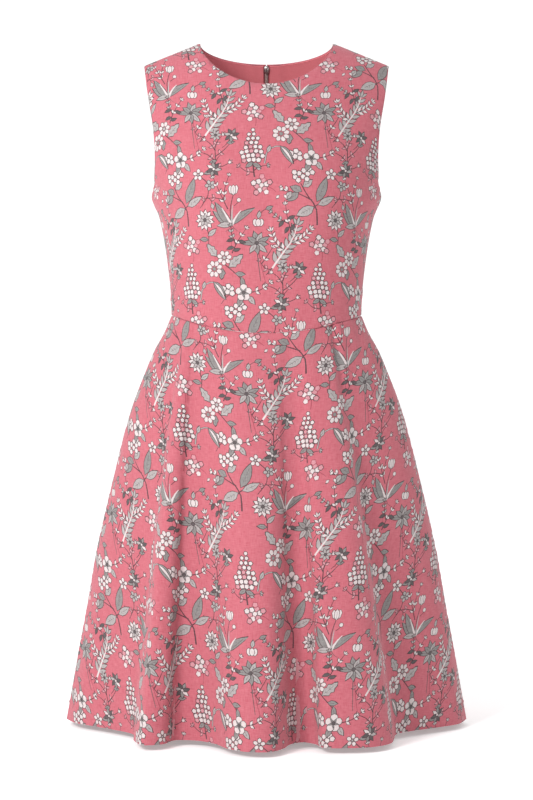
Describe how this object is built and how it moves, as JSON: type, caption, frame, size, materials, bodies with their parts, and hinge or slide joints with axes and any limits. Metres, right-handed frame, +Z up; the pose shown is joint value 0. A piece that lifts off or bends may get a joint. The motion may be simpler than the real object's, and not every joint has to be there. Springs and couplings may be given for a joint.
{
  "type": "sleeveless a-line dress",
  "caption": "Knee-length sleeveless dress with a fitted bodice, round neck, back zip and a flared skirt hanging in soft folds, hollow as worn.",
  "frame": {"origin": "midway between the two points where the shoulder seams meet the neckline, at their height, where the wearer's shoulders hold the dress up", "axes": "+Z up from hem to shoulders, -Y the way the front faces, +X towards the viewer's right when looking at the front"},
  "size_m": [0.558, 0.4694, 0.936],
  "materials": {
    "printed_cotton": "matt plain-weave cotton with a slubbed pink ground and a large-scale botanical print in white and greys",
    "facing_cotton": "plain deep pink cotton lawn",
    "zip_tape": "dull woven polyester tape",
    "zip_coil": "fine moulded coil",
    "zip_metal": "light grey satin enamel"
  },
  "bodies": {
    "dress": {"bodice_front": "printed_cotton", "bodice_back_left": "printed_cotton", "bodice_back_right": "printed_cotton", "skirt_front": "printed_cotton", "skirt_back_left": "printed_cotton", "skirt_back_right": "printed_cotton", "facing_back_left": "facing_cotton", "facing_back_right": "facing_cotton", "zip_tape_left": "zip_tape", "zip_tape_right": "zip_tape", "zip_coil": "zip_coil", "zip_slider": "zip_metal"},
    "pull_tab": {"zip_pull_tab": "zip_metal"}
  },
  "joints": [
    {"name": "pull_tab_hinge", "type": "hinge", "parent": "dress", "child": "pull_tab", "pos_m": [0, 0.06196, -0.02598], "axis": [1, 0, 0], "range_deg": [0, 150]}
  ]
}
